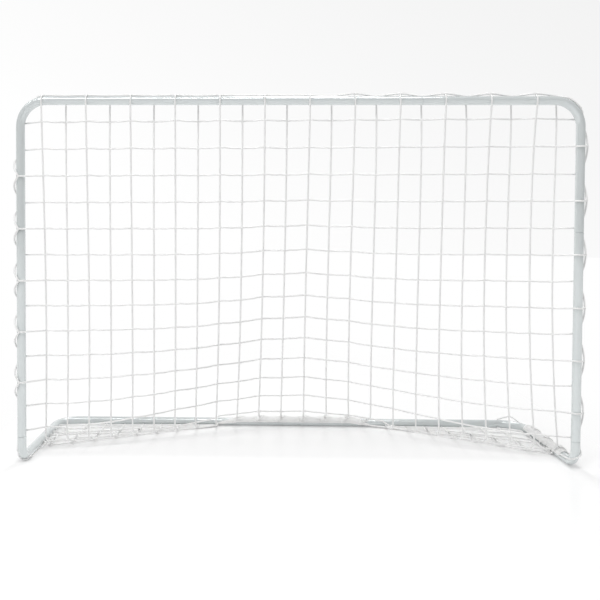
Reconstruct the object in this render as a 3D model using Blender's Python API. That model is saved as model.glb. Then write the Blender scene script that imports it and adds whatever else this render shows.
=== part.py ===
"""Portable soccer goal: a bent steel tube frame that plugs together with spring buttons,
and a knotless net that is threaded on the crossbar, the posts and the base.

Metres, +Z up. The goal faces -Y, its width runs along X, and it stands on Z = 0 with the
origin under the middle of the whole object.
"""

import math

import bmesh
import bpy
from mathutils import Matrix, Vector

# Frame: sizes over the tubes
GOAL_WIDTH = 1.800
GOAL_HEIGHT = 1.180
GOAL_DEPTH = 0.503
TUBE_DIAMETER = 0.028
TUBE_WALL = 0.0012
CORNER_RADIUS = 0.082
FOOT_RADIUS = 0.050

# Where the tubes plug together
BAR_SEAM_X = 0.390
POST_SEAM_Z = 0.752
FOOT_SEAM_Z = 0.088
REAR_SEAM_X = 0.400

# Swaged end that slides into the next tube
SPIGOT_LENGTH = 0.070
SPIGOT_CLEARANCE = 0.0003
SWAGE_LENGTH = 0.003

# Spring button and its clip
BUTTON_DIAMETER = 0.008
BUTTON_PROTRUSION = 0.004
BUTTON_ROUNDING = 0.0015
FLANGE_DIAMETER = 0.010
FLANGE_THICKNESS = 0.0015
HOLE_CLEARANCE = 0.0003
CLIP_WIDTH = 0.0048
CLIP_THICKNESS = 0.0005
CLIP_LENGTH = 0.036
CLIP_FOLD_RADIUS = 0.0035
CLIP_TAIL = 0.006

# Net: knotless mesh of one size of cord
MESH_COLUMNS = 25
FIRST_ROW_DROP = 0.066
LAST_ROW_RISE = 0.068
POST_ROWS = 13
FREE_ROWS = 14
ALL_ROWS = 20
CORD_WIDTH = 0.0034
CORD_DEPTH = 0.0028
LACE_CLEARANCE = 0.0003
BORDER_STANDOFF = 0.006
FLOOR_GAP = 0.0005
PANEL_GAP = 0.0003

# Shape of the hanging net, measured back from the posts
FOOT_BACK_AT_POSTS = 0.120
FOOT_BACK_RISE = 0.340
SWEEP_POWER = 1.63
SWEEP_POWER_SWING = 0.21
SWEEP_PERIOD = 0.74
SPREAD = 0.022
SPREAD_WIDTH = 0.25
SPREAD_POWER = 1.6

# How round the faceted solids are
TUBE_SIDES = 12
CORNER_STEPS = 6
FOOT_STEPS = 5
BUTTON_SIDES = 10
HANG_STEPS = 48

TUBE_RADIUS = TUBE_DIAMETER / 2
POST_X = GOAL_WIDTH / 2 - TUBE_RADIUS
BAR_Z = GOAL_HEIGHT - TUBE_RADIUS
FRONT_Y = -(GOAL_DEPTH - TUBE_DIAMETER) / 2
REAR_Y = (GOAL_DEPTH - TUBE_DIAMETER) / 2
BASE_Z = TUBE_RADIUS
BORE_RADIUS = TUBE_RADIUS - TUBE_WALL
SPIGOT_RADIUS = BORE_RADIUS - SPIGOT_CLEARANCE
SPIGOT_BORE = SPIGOT_RADIUS - TUBE_WALL
COLUMN_PITCH = 2 * POST_X / MESH_COLUMNS
ROW_PITCH = (BAR_Z - FIRST_ROW_DROP - LAST_ROW_RISE) / (POST_ROWS - 1)
TUBE_CORNER = TUBE_RADIUS / math.cos(math.pi / TUBE_SIDES)
LACE_CLEAR = TUBE_CORNER + LACE_CLEARANCE + CORD_DEPTH * 2 / 3
LACE_RADIUS = LACE_CLEAR / math.cos(math.pi / 8)
REAR_BORDER_RADIUS = LACE_RADIUS - CORD_DEPTH * (math.sqrt(2) - 1) / 3
BORDER_RADIUS = TUBE_RADIUS + BORDER_STANDOFF

X = Vector((1, 0, 0))
Y = Vector((0, 1, 0))
Z = Vector((0, 0, 1))


def clear_scene():
    for item in list(bpy.data.objects):
        bpy.data.objects.remove(item, do_unlink=True)


def material(name, colour, roughness, metallic=0.0):
    found = bpy.data.materials.new(name)
    found.use_nodes = True
    shader = found.node_tree.nodes["Principled BSDF"]
    shader.inputs["Base Color"].default_value = (*colour, 1)
    shader.inputs["Roughness"].default_value = roughness
    shader.inputs["Metallic"].default_value = metallic
    return found


def add_object(name, mesh_builder, finish):
    """Turns a bmesh into a named object with its faces pointing out."""
    bmesh.ops.recalc_face_normals(mesh_builder, faces=mesh_builder.faces[:])
    mesh = bpy.data.meshes.new(name)
    mesh_builder.to_mesh(mesh)
    mesh_builder.free()
    mesh.shade_smooth()
    mesh.set_sharp_from_angle(angle=math.radians(40))
    made = bpy.data.objects.new(name, mesh)
    bpy.context.collection.objects.link(made)
    if finish:
        mesh.materials.append(finish)
    return made


def bridge(shape, first, second):
    """Quads between two rings of as many points."""
    count = len(first)
    for j in range(count):
        n = (j + 1) % count
        shape.faces.new((first[j], first[n], second[n], second[j]))


# Tubes: a walk along the centre line, as on a tube bender

def station(point, heading, flat, outer, inner):
    return {"point": point, "heading": heading, "flat": flat, "outer": outer, "inner": inner}


def go_straight(path, length, outer=TUBE_RADIUS, inner=BORE_RADIUS):
    last = path[-1]
    path.append(station(last["point"] + last["heading"] * length, last["heading"], last["flat"],
                        outer, inner))


def go_round(path, radius, towards, angle, steps):
    """A bend towards a direction; the flat of the section turns with the tube."""
    last = path[-1]
    axis = last["heading"].cross(towards).normalized()
    centre = last["point"] + towards * radius
    for step in range(1, steps + 1):
        turn = Matrix.Rotation(angle * step / steps, 3, axis)
        path.append(station(centre + turn @ (last["point"] - centre), turn @ last["heading"],
                            turn @ last["flat"], last["outer"], last["inner"]))


def section(shape, place, radius):
    """A ring of points round a station, with a flat of the polygon square to its flat direction."""
    across = place["heading"].cross(place["flat"])
    corner = radius / math.cos(math.pi / TUBE_SIDES)
    ring = []
    for j in range(TUBE_SIDES):
        turn = 2 * math.pi * (j + 0.5) / TUBE_SIDES
        ring.append(shape.verts.new(
            place["point"] + place["flat"] * corner * math.cos(turn) + across * corner * math.sin(turn)))
    return ring


def tube(name, path, finish):
    shape = bmesh.new()
    outside = [section(shape, place, place["outer"]) for place in path]
    inside = [section(shape, place, place["inner"]) for place in path]
    for rings in (outside, inside):
        for first, second in zip(rings[:-1], rings[1:]):
            bridge(shape, first, second)
    bridge(shape, outside[0], inside[0])
    bridge(shape, outside[-1], inside[-1])
    return add_object(name, shape, finish)


def start_at_spigot(seam, heading, flat):
    """The first stations of a tube whose swaged end reaches back through the seam."""
    path = [station(seam - heading * SPIGOT_LENGTH, heading, flat, SPIGOT_RADIUS, SPIGOT_BORE)]
    go_straight(path, SPIGOT_LENGTH, SPIGOT_RADIUS, SPIGOT_BORE)
    go_straight(path, SWAGE_LENGTH)
    return path


def end_in_spigot(path, length):
    go_straight(path, length - SWAGE_LENGTH)
    go_straight(path, SWAGE_LENGTH, SPIGOT_RADIUS, SPIGOT_BORE)
    go_straight(path, SPIGOT_LENGTH, SPIGOT_RADIUS, SPIGOT_BORE)


def start_at_socket(seam, heading, flat):
    """The first station of a tube whose open end stops just short of the swage."""
    return [station(seam + heading * SPIGOT_CLEARANCE, heading, flat, TUBE_RADIUS, BORE_RADIUS)]


def crossbar_tube(finish):
    path = start_at_spigot(Vector((-BAR_SEAM_X, FRONT_Y, BAR_Z)), X, Y)
    end_in_spigot(path, 2 * BAR_SEAM_X - SWAGE_LENGTH)
    return tube("crossbar_tube", path, finish)


def rear_bar_tube(finish):
    path = start_at_spigot(Vector((-REAR_SEAM_X, REAR_Y, BASE_Z)), X, -Z)
    end_in_spigot(path, 2 * REAR_SEAM_X - SWAGE_LENGTH)
    return tube("rear_bar_tube", path, finish)


def top_corner_tube(name, side, finish):
    """From the crossbar seam outwards and down to the post seam; side is -1 or 1."""
    out = X * side
    path = start_at_socket(Vector((side * BAR_SEAM_X, FRONT_Y, BAR_Z)), out, Y)
    go_straight(path, POST_X - CORNER_RADIUS - BAR_SEAM_X - SPIGOT_CLEARANCE)
    go_round(path, CORNER_RADIUS, -Z, math.pi / 2, CORNER_STEPS)
    go_straight(path, BAR_Z - CORNER_RADIUS - POST_SEAM_Z - SPIGOT_CLEARANCE)
    return tube(name, path, finish)


def post_tube(name, side, finish):
    path = start_at_socket(Vector((side * POST_X, FRONT_Y, FOOT_SEAM_Z)), Z, Y)
    end_in_spigot(path, POST_SEAM_Z - FOOT_SEAM_Z - SPIGOT_CLEARANCE)
    return tube(name, path, finish)


def base_arm_tube(name, side, finish):
    """From the spigot in the post down, round the foot, back along the floor and round to the rear bar."""
    path = start_at_spigot(Vector((side * POST_X, FRONT_Y, FOOT_SEAM_Z)), -Z, -Y)
    go_straight(path, FOOT_SEAM_Z - SWAGE_LENGTH - FOOT_RADIUS - BASE_Z)
    go_round(path, FOOT_RADIUS, Y, math.pi / 2, FOOT_STEPS)
    go_straight(path, REAR_Y - CORNER_RADIUS - FRONT_Y - FOOT_RADIUS)
    go_round(path, CORNER_RADIUS, X * -side, math.pi / 2, CORNER_STEPS)
    go_straight(path, POST_X - CORNER_RADIUS - REAR_SEAM_X - SPIGOT_CLEARANCE)
    return tube(name, path, finish)


# Push-button joints

def joint_places():
    """Each joint: its name, the seam, the way into the tube with the spigot, and the button's direction."""
    low_back = (Y - Z).normalized()
    places = []
    for word, side in (("left", -1), ("right", 1)):
        out = X * side
        post = Vector((side * POST_X, FRONT_Y, 0))
        places.append(("crossbar_" + word, Vector((side * BAR_SEAM_X, FRONT_Y, BAR_Z)), -out, Y))
        places.append(("post_" + word, post + Z * POST_SEAM_Z, -Z, Y))
        places.append(("foot_" + word, post + Z * FOOT_SEAM_Z, -Z, Y))
        places.append(("rear_" + word, Vector((side * REAR_SEAM_X, REAR_Y, BASE_Z)), -out, low_back))
    return places


def joint_frame(seam, inward, outward):
    """Origin on the tube's axis under the button, X into the tube with the spigot, Z out through the button."""
    origin = seam - inward * (SPIGOT_LENGTH / 2)
    across = outward.cross(inward)
    turned = Matrix((inward, across, outward)).transposed()
    return Matrix.Translation(origin) @ turned.to_4x4()


def lathe(shape, profile, sides):
    """A closed turned solid from (radius, height) pairs, with a point at each end."""
    rings = []
    for radius, height in profile[1:-1]:
        rings.append([shape.verts.new((radius * math.cos(2 * math.pi * j / sides),
                                       radius * math.sin(2 * math.pi * j / sides), height))
                      for j in range(sides)])
    for first, second in zip(rings[:-1], rings[1:]):
        bridge(shape, first, second)
    for ring, height in ((rings[0], profile[0][1]), (rings[-1], profile[-1][1])):
        tip = shape.verts.new((0, 0, height))
        for j in range(sides):
            shape.faces.new((ring[j], ring[(j + 1) % sides], tip))


def flange_top():
    """The highest a flange as wide as this one reaches before its rim meets the wall of the faceted bore."""
    tilt = 2 * math.pi / TUBE_SIDES
    wall = (SPIGOT_BORE - FLANGE_DIAMETER / 2 * math.sin(tilt)) / math.cos(tilt)
    return wall - HOLE_CLEARANCE


def spring_button(name, place, finish):
    shape = bmesh.new()
    radius = BUTTON_DIAMETER / 2
    rim = FLANGE_DIAMETER / 2
    top = flange_top()
    tip = TUBE_RADIUS + BUTTON_PROTRUSION
    lathe(shape, ((0, top - FLANGE_THICKNESS), (rim, top - FLANGE_THICKNESS), (rim, top), (radius, top),
                  (radius, tip - BUTTON_ROUNDING), (radius - BUTTON_ROUNDING, tip), (0, tip)), BUTTON_SIDES)
    made = add_object(name, shape, finish)
    made.matrix_world = place
    return made


def spring_clip(name, place, finish):
    """A strip folded back on itself: one leg up to the button, one along the far wall of the bore."""
    top = flange_top() - FLANGE_THICKNESS / 2
    bottom = -(SPIGOT_BORE - SPIGOT_CLEARANCE - CLIP_THICKNESS / 2)
    near = FLANGE_DIAMETER / 2 + HOLE_CLEARANCE
    line = [(near, top)]
    for angle in (75, 25, -30, -90):
        line.append((CLIP_LENGTH - CLIP_FOLD_RADIUS * (1 - math.cos(math.radians(angle))),
                     bottom + CLIP_FOLD_RADIUS * (1 + math.sin(math.radians(angle)))))
    line.append((-CLIP_TAIL, bottom))
    shape = bmesh.new()
    rings = []
    for j, (along, height) in enumerate(line):
        before = Vector(line[max(j - 1, 0)])
        after = Vector(line[min(j + 1, len(line) - 1)])
        run = (after - before).normalized()
        normal = Vector((-run.y, run.x)) * (CLIP_THICKNESS / 2)
        rings.append([shape.verts.new((along + normal.x * s, w * CLIP_WIDTH / 2, height + normal.y * s))
                      for s, w in ((1, -1), (1, 1), (-1, 1), (-1, -1))])
    for first, second in zip(rings[:-1], rings[1:]):
        bridge(shape, first, second)
    shape.faces.new(rings[0])
    shape.faces.new(rings[-1])
    made = add_object(name, shape, finish)
    made.matrix_world = place
    return made


def button_hole(name, place, tubes):
    """A round cutter through the wall of the socket and of the spigot inside it."""
    shape = bmesh.new()
    depth = TUBE_RADIUS
    bmesh.ops.create_cone(shape, cap_ends=True, segments=BUTTON_SIDES,
                          radius1=BUTTON_DIAMETER / 2 + HOLE_CLEARANCE,
                          radius2=BUTTON_DIAMETER / 2 + HOLE_CLEARANCE, depth=depth)
    bmesh.ops.translate(shape, vec=(0, 0, TUBE_RADIUS / 2 + depth / 2), verts=shape.verts[:])
    cutter = add_object(name, shape, None)
    cutter.matrix_world = place
    cutter.hide_render = True
    cutter.display_type = "WIRE"
    for body in tubes:
        cut = body.modifiers.new(name, "BOOLEAN")
        cut.operation = "DIFFERENCE"
        cut.solver = "EXACT"
        cut.object = cutter


# Net: where its cords run

def foot_back(x):
    """How far behind the posts a column of the net first touches the floor or the rear bar."""
    return FOOT_BACK_AT_POSTS + FOOT_BACK_RISE * math.cos(math.pi * x / (2 * POST_X)) ** 2


def column_curve(x):
    """The (y, z) line of one column of the net, from the crossbar's axis to the cord behind the rear bar."""
    floor = FLOOR_GAP + CORD_WIDTH / 2
    axis = rear_axis(spread(x, 0))
    front = axis - LACE_RADIUS
    back = foot_back(x)
    direct = back > front - FRONT_Y - TUBE_DIAMETER
    if direct:
        back = on_rear_bar(axis, 3 * math.pi / 4)[0] - FRONT_Y
    low = on_rear_bar(axis, 3 * math.pi / 4)[1] if direct else floor
    sweep = SWEEP_POWER - SWEEP_POWER_SWING * math.cos(2 * math.pi * abs(x) / SWEEP_PERIOD)
    line = []
    for step in range(HANG_STEPS + 1):
        drop = step / HANG_STEPS
        line.append((FRONT_Y + back * drop ** sweep, BAR_Z - (BAR_Z - low) * drop))
    if not direct:
        line.append((front - CORD_DEPTH, floor))
        line.append((front, BASE_Z))
        line.append(on_rear_bar(axis, 3 * math.pi / 4))
    line.append(on_rear_bar(axis, math.pi / 2))
    line.append(on_rear_bar(axis, math.pi / 4))
    line.append((axis + REAR_BORDER_RADIUS, BASE_Z))
    return line


def rear_axis(x):
    """How far back the rear bar's axis is at x, which comes forward along the corner bends."""
    over = abs(x) - (POST_X - CORNER_RADIUS)
    if over <= 0:
        return REAR_Y
    return REAR_Y - CORNER_RADIUS + math.sqrt(CORNER_RADIUS ** 2 - over ** 2)


def on_rear_bar(axis, angle):
    return (axis + LACE_RADIUS * math.cos(angle), BASE_Z + LACE_RADIUS * math.sin(angle))


def run_lengths(line):
    lengths = [0.0]
    for first, second in zip(line[:-1], line[1:]):
        lengths.append(lengths[-1] + (Vector(second) - Vector(first)).length)
    return lengths


def point_along(line, lengths, distance):
    for j in range(1, len(line)):
        if distance <= lengths[j] or j == len(line) - 1:
            share = (distance - lengths[j - 1]) / (lengths[j] - lengths[j - 1])
            return Vector(line[j - 1]).lerp(Vector(line[j]), min(share, 1.0))


def row_distances(total):
    """Rows hang at their own pitch; the last ones share out what is left up to the rear border."""
    free = [FIRST_ROW_DROP + ROW_PITCH * k for k in range(FREE_ROWS)]
    left = (total - free[-1]) / (ALL_ROWS - FREE_ROWS + 1)
    return free + [free[-1] + left * (k + 1) for k in range(ALL_ROWS - FREE_ROWS)] + [total]


def spread(x, z):
    """The net widens towards the floor, as its outer columns are drawn to the base arms."""
    drop = min(max((BAR_Z - z) / BAR_Z, 0.0), 1.0)
    return x + SPREAD * math.tanh(x / SPREAD_WIDTH) * drop ** SPREAD_POWER * edge_ease(x)


def edge_ease(x):
    """Fades the spread out over the last two columns beside the posts."""
    return min(1.0, (POST_X - abs(x)) / (2 * COLUMN_PITCH))


def column_x(i):
    return -POST_X + COLUMN_PITCH * i


def net_points():
    """Crossings of the net by (column, row), with row -1 on the crossbar and the last row at the rear bar.

    Each has its place, the directions along its row and its column, and the bends of the cord
    between it and the next crossing along the row and down the column.
    """
    crossings = {}
    bends = {}
    last = MESH_COLUMNS
    for i in range(1, last):
        line = column_curve(column_x(i))
        lengths = run_lengths(line)
        distances = row_distances(lengths[-1])
        for k, distance in enumerate(distances):
            y, z = point_along(line, lengths, distance)
            crossings[i, k] = Vector((spread(column_x(i), z), y, z))
        for k in range(ALL_ROWS):
            bends["down", i, k] = corner_points(i, line, lengths, distances[k], distances[k + 1])
        crossings[i, -1] = outside_top(column_x(i), BORDER_RADIUS)
        bends["down", i, -1] = lace_on_bar(column_x(i), -1 if i % 2 else 1)
    for side, i, near in ((-1, 0, 1), (1, last, last - 1)):
        for k in range(POST_ROWS):
            z = BAR_Z - FIRST_ROW_DROP - ROW_PITCH * k
            crossings[i, k] = outside_post(side, z, BORDER_RADIUS)
            front = (k % 2 == 0 and k > 0) if side < 0 else k % 2 == 1
            bends["along", min(i, near), k] = lace_on_post(side, z, -1 if front else 1)
        for k in range(POST_ROWS, ALL_ROWS):
            y = arm_row_y(k)
            crossings[i, k] = Vector((side * (POST_X + LACE_RADIUS), y, BASE_Z))
            bends["along", min(i, near), k] = lace_on_arm(side, y)
        crossings[i, -1] = outside_corner(side, FRONT_Y, BAR_Z, math.pi / 4, "top")
        crossings[i, ALL_ROWS] = outside_corner(side, REAR_Y, BASE_Z, math.pi / 4, "rear")
        add_border_bends(bends, side, i, near)
    clear_posts(crossings, bends)
    clear_rear_bar(crossings, bends)
    return crossings, bends


def clear_posts(crossings, bends):
    """Rows that would cut the inner side of a post on their way to the net go round it."""
    for side, near in ((-1, 0), (1, MESH_COLUMNS - 1)):
        for k in range(POST_ROWS):
            turns = bends["along", near, k]
            start = turns[-1][0] if side < 0 else turns[0][0]
            axis = outside_post(side, start.z, 0)
            found = pushed_out(start, crossings[max(near, 1), k], axis, Z)
            if found:
                extra = half_way(start, found, axis) + [found]
                extra = [(place, out if out.y > 0 else -out) for place, out in extra]
                bends["along", near, k] = turns + extra if side < 0 else extra[::-1] + turns


def clear_rear_bar(crossings, bends):
    """Rows that would cut the rear bar between two columns go over it."""
    for i in range(1, MESH_COLUMNS - 1):
        for k in range(POST_ROWS, ALL_ROWS):
            start, end = crossings[i, k], crossings[i + 1, k]
            axis = Vector((0, (rear_axis(start.x) + rear_axis(end.x)) / 2, BASE_Z))
            found = pushed_out(start, end, axis, X)
            if found:
                bends["along", i, k] = [found]


def half_way(start, found, axis):
    """One more bend between two that are far apart round a post."""
    place, outward = found
    before = Vector((start.x - axis.x, start.y - axis.y, 0)).normalized()
    if before.dot(outward) > math.cos(math.pi / 4):
        return []
    between = (before + outward).normalized()
    height = Z * ((start.z + place.z) / 2 - axis.z)
    return [(axis + between * LACE_RADIUS + height, between)]


def pushed_out(start, end, axis, direction):
    """The bend that keeps a straight cord off the tube round this axis, or nothing if it is clear."""
    first = start - axis
    first -= direction * first.dot(direction)
    run = end - start
    flat = run - direction * run.dot(direction)
    if flat.length < CORD_WIDTH:
        return None
    share = -first.dot(flat) / flat.length_squared
    nearest = first + flat * share
    if not 0.05 < share < 0.95 or nearest.length > LACE_CLEAR:
        return None
    outward = nearest.normalized()
    place = start + run * share - nearest + outward * LACE_RADIUS
    return place, outward


def corner_points(i, line, lengths, start, end):
    """The sharp bends of a column between two rows: the fold on the floor and the turns on the rear bar."""
    found = []
    for j in range(HANG_STEPS, len(line) - 1):
        if start + CORD_WIDTH < lengths[j] < end - CORD_WIDTH:
            y, z = line[j]
            run = (Vector(line[j + 1]) - Vector(line[j - 1])).normalized()
            found.append((Vector((spread(column_x(i), z), y, z)), Vector((0, -run.y, run.x))))
    return found


def bar_height(x):
    """Height of the crossbar's axis over x, which drops along the corner bends."""
    over = abs(x) - (POST_X - CORNER_RADIUS)
    if over <= 0:
        return BAR_Z
    return BAR_Z - CORNER_RADIUS + math.sqrt(CORNER_RADIUS ** 2 - over ** 2)


def outside_top(x, radius):
    return Vector((x, FRONT_Y, bar_height(x) + radius))


def outside_post(side, z, radius):
    over = z - (BAR_Z - CORNER_RADIUS)
    x = POST_X
    if over > 0:
        x = POST_X - CORNER_RADIUS + math.sqrt(CORNER_RADIUS ** 2 - over ** 2)
    return Vector((side * (x + radius), FRONT_Y, z))


def outside_corner(side, y, z, angle, where):
    """A point outside a corner bend, at an angle from the outward X direction."""
    centre_x = POST_X - CORNER_RADIUS
    if where == "top":
        reach = CORNER_RADIUS + BORDER_RADIUS
        return Vector((side * (centre_x + reach * math.cos(angle)), y,
                       z - CORNER_RADIUS + reach * math.sin(angle)))
    reach = CORNER_RADIUS + LACE_RADIUS
    return Vector((side * (centre_x + reach * math.cos(angle)), y - CORNER_RADIUS + reach * math.sin(angle),
                   BASE_Z))


def arm_row_y(k):
    """Rows on the base arms, shared out evenly between the foot and the rear corner."""
    first = FRONT_Y + FOOT_RADIUS + CORD_WIDTH
    run = REAR_Y - CORNER_RADIUS - first
    return first + run * (k - POST_ROWS) / (ALL_ROWS - 1 - POST_ROWS)


def lace_on_bar(x, y_side):
    """A column passes in front of the crossbar (-1) or behind it (1) on its way down from the border."""
    z = bar_height(x)
    high = LACE_RADIUS * math.sin(math.pi / 4)
    return [(Vector((x, FRONT_Y + y_side * high, z + high)), Vector((0, 1, y_side)).normalized()),
            (Vector((x, FRONT_Y + y_side * LACE_RADIUS, z)), Y)]


def lace_on_post(side, z, y_side):
    """A row passes in front of a post (-1) or behind it (1); the bends run from left to right."""
    centre = outside_post(side, z, 0)
    high = LACE_RADIUS * math.sin(math.pi / 4)
    outer = (centre + Vector((side * high, y_side * high, 0)), Vector((y_side * side, 1, 0)).normalized())
    middle = (centre + Vector((0, y_side * LACE_RADIUS, 0)), Y)
    return [outer, middle] if side < 0 else [middle, outer]


def lace_on_arm(side, y):
    """A row passes over a base arm to the border outside it; the bends run from left to right."""
    turns = []
    for angle in (3 * math.pi / 4, math.pi / 2, math.pi / 4):
        outward = Vector((-side * math.cos(angle), 0, math.sin(angle)))
        place = Vector((side * POST_X, y, BASE_Z)) + outward * LACE_RADIUS
        turns.append((place, outward))
    return turns if side < 0 else turns[::-1]


def add_border_bends(bends, side, i, near):
    """The border cord's own bends round the corners and the feet."""
    centre = Vector((side * (POST_X - CORNER_RADIUS), FRONT_Y, BAR_Z - CORNER_RADIUS))
    reach = CORNER_RADIUS + BORDER_RADIUS
    high = [(centre + Vector((side * math.cos(a), 0, math.sin(a))) * reach, Y)
            for a in (math.radians(78), math.radians(62))]
    bends["along", min(i, near), -1] = high if side > 0 else high[::-1]
    bends["down", i, -1] = [(centre + Vector((side * math.cos(math.radians(26)), 0,
                                              math.sin(math.radians(26)))) * reach, Y)]
    rear = Vector((side * (POST_X - CORNER_RADIUS), REAR_Y - CORNER_RADIUS, BASE_Z))
    reach = CORNER_RADIUS + LACE_RADIUS
    lift = Vector((side, 1, 1)).normalized()
    low = [(rear + Vector((side * math.cos(a), math.sin(a), 0)) * reach, lift)
           for a in (math.radians(78), math.radians(62))]
    bends["along", min(i, near), ALL_ROWS] = low if side > 0 else low[::-1]
    straight = Vector((side * (POST_X - CORNER_RADIUS), REAR_Y + REAR_BORDER_RADIUS, BASE_Z))
    bends["along", 1 if side < 0 else near - 1, ALL_ROWS] = [(straight, (Y + Z).normalized())]
    bends["down", i, ALL_ROWS - 1] = [(rear + Vector((side * math.cos(math.radians(24)),
                                                      math.sin(math.radians(24)), 0)) * reach, lift)]
    turn = Vector((side * (POST_X + LACE_RADIUS), FRONT_Y + FOOT_RADIUS * 0.35, BASE_Z + FOOT_RADIUS * 0.3))
    bends["down", i, POST_ROWS - 1] = [(turn, Vector((side, 1, 1)).normalized())]


# Net: cords of triangular section joined at the crossings

def crossing_frame(i, k, crossings, bends):
    """Directions along the row and down the column at a crossing."""
    last = MESH_COLUMNS
    if i in (0, last):
        side = -1 if i == 0 else 1
        if k == ALL_ROWS:
            return Vector((2, 0, -side)).normalized(), Vector((0, 2, -1)).normalized()
        if k >= POST_ROWS:
            return Vector((1, 0, -side)).normalized(), Y
        return X, -Z
    if k == -1:
        return X, -Z
    if k == ALL_ROWS:
        return X, (Y - Z).normalized()
    here = crossings[i, k]
    right = (bends.get(("along", i, k)) or [(crossings[i + 1, k], None)])[0][0]
    left = (bends.get(("along", i - 1, k)) or [(crossings[i - 1, k], None)])[-1][0]
    below = (bends.get(("down", i, k)) or [(crossings[i, k + 1], None)])[0][0]
    above = (bends.get(("down", i, k - 1)) or [(crossings[i, k - 1], None)])[-1][0]
    along = ((right - here).normalized() + (here - left).normalized()).normalized()
    down = ((below - here).normalized() + (here - above).normalized()).normalized()
    return along, down


def crossing_body(shape, place, along, down):
    """The four corners of a crossing's flat face and the point where the ridges of its cords meet."""
    normal = along.cross(down).normalized()
    half = CORD_WIDTH / 2
    face = place - normal * (CORD_DEPTH / 3)
    corner = {(a, d): shape.verts.new(face + along * half * a + down * half * d)
              for a in (-1, 1) for d in (-1, 1)}
    ridge = shape.verts.new(place + normal * (CORD_DEPTH * 2 / 3))
    shape.faces.new((corner[-1, -1], corner[1, -1], corner[1, 1], corner[-1, 1]))
    ports = {
        "right": (corner[1, -1], corner[1, 1], ridge),
        "left": (corner[-1, -1], corner[-1, 1], ridge),
        "below": (corner[1, 1], corner[-1, 1], ridge),
        "above": (corner[1, -1], corner[-1, -1], ridge),
    }
    return ports, normal


def cord_section(shape, place, run, normal):
    """Three points across a cord, in the order of the ports at its start."""
    out = (normal - run * normal.dot(run)).normalized()
    across = run.cross(out)
    half = CORD_WIDTH / 2
    face = place - out * (CORD_DEPTH / 3)
    return (shape.verts.new(face + across * half), shape.verts.new(face - across * half),
            shape.verts.new(place + out * (CORD_DEPTH * 2 / 3)))


def cord_run(start, end, turns, start_normal, end_normal):
    """Places, directions and normals of the sections between two crossings."""
    points = [start] + [place for place, normal in turns] + [end]
    normals = [start_normal] + [normal for place, normal in turns] + [end_normal]
    runs = []
    for j in range(1, len(points) - 1):
        before = (points[j] - points[j - 1]).normalized()
        after = (points[j + 1] - points[j]).normalized()
        runs.append((before + after).normalized())
    return points, normals, runs


def half_cord(shape, port, points, normals, runs, flip):
    """A cord from a crossing to the cut in the middle of its run, with its end closed."""
    lengths = run_lengths(points)
    stop = lengths[-1] / 2 - PANEL_GAP / 2
    ring = port
    for j in range(1, len(points) - 1):
        if lengths[j] < stop:
            following = cord_section(shape, points[j], runs[j - 1], normals[j])
            ring = join(shape, ring, following, flip)
    j = next(n for n in range(1, len(points)) if lengths[n] >= stop)
    share = (stop - lengths[j - 1]) / (lengths[j] - lengths[j - 1])
    place = points[j - 1].lerp(points[j], share)
    normal = normals[j - 1].lerp(normals[j], share)
    following = cord_section(shape, place, (points[j] - points[j - 1]).normalized(), normal)
    ring = join(shape, ring, following, flip)
    shape.faces.new(ring)


def join(shape, ring, following, flip):
    if flip:
        following = (following[1], following[0], following[2])
    bridge(shape, ring, following)
    return following


def net_panel(name, columns, rows, crossings, bends, finish):
    """The part of the net with these columns and rows, cut clean half way to its neighbours."""
    shape = bmesh.new()
    ports = {}
    normals = {}
    for i in columns:
        for k in rows:
            along, down = crossing_frame(i, k, crossings, bends)
            ports[i, k], normals[i, k] = crossing_body(shape, crossings[i, k], along, down)
    for i in columns:
        for k in rows:
            for way, back, step in (("along", "left", (1, 0)), ("down", "above", (0, 1))):
                forward = "right" if way == "along" else "below"
                here, there = (i, k), (i + step[0], k + step[1])
                edge = here[0] in (0, MESH_COLUMNS) and way == "along" and here[0] == MESH_COLUMNS
                if edge or there not in crossings:
                    shape.faces.new(ports[here][forward])
                    continue
                far_normal = normals.get(there)
                if far_normal is None:
                    along, down = crossing_frame(*there, crossings, bends)
                    far_normal = along.cross(down).normalized()
                turns = bends.get((way, *here), [])
                line = cord_run(crossings[here], crossings[there], turns, normals[here], far_normal)
                if there in ports:
                    whole_cord(shape, ports[here][forward], ports[there][back], line)
                else:
                    half_cord(shape, ports[here][forward], *line, False)
            for way, face, step in (("along", "left", (-1, 0)), ("down", "above", (0, -1))):
                before = (i + step[0], k + step[1])
                if before not in crossings:
                    shape.faces.new(ports[i, k][face])
                elif before not in ports:
                    along, down = crossing_frame(*before, crossings, bends)
                    far = along.cross(down).normalized()
                    turns = bends.get((way, *before), [])[::-1]
                    line = cord_run(crossings[i, k], crossings[before], turns, normals[i, k], far)
                    half_cord(shape, ports[i, k][face], *line, True)
    return add_object(name, shape, finish)


def whole_cord(shape, start, end, line):
    points, normals, runs = line
    ring = start
    for j in range(1, len(points) - 1):
        ring = join(shape, ring, cord_section(shape, points[j], runs[j - 1], normals[j]), False)
    bridge(shape, ring, end)


def net(finish):
    crossings, bends = net_points()
    last = MESH_COLUMNS
    columns = {
        "edge_left": range(0, 2),
        "left": range(2, 8),
        "mid_left": range(8, 13),
        "mid_right": range(13, 18),
        "right": range(18, last - 1),
        "edge_right": range(last - 1, last + 1),
    }
    rows = {
        "top": range(-1, 1),
        "upper": range(1, 7),
        "lower": range(7, POST_ROWS),
        "floor": range(POST_ROWS, ALL_ROWS + 1),
    }
    for across, some_columns in columns.items():
        for level, some_rows in rows.items():
            net_panel(f"net_{level}_{across}", some_columns, some_rows, crossings, bends, finish)


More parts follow.
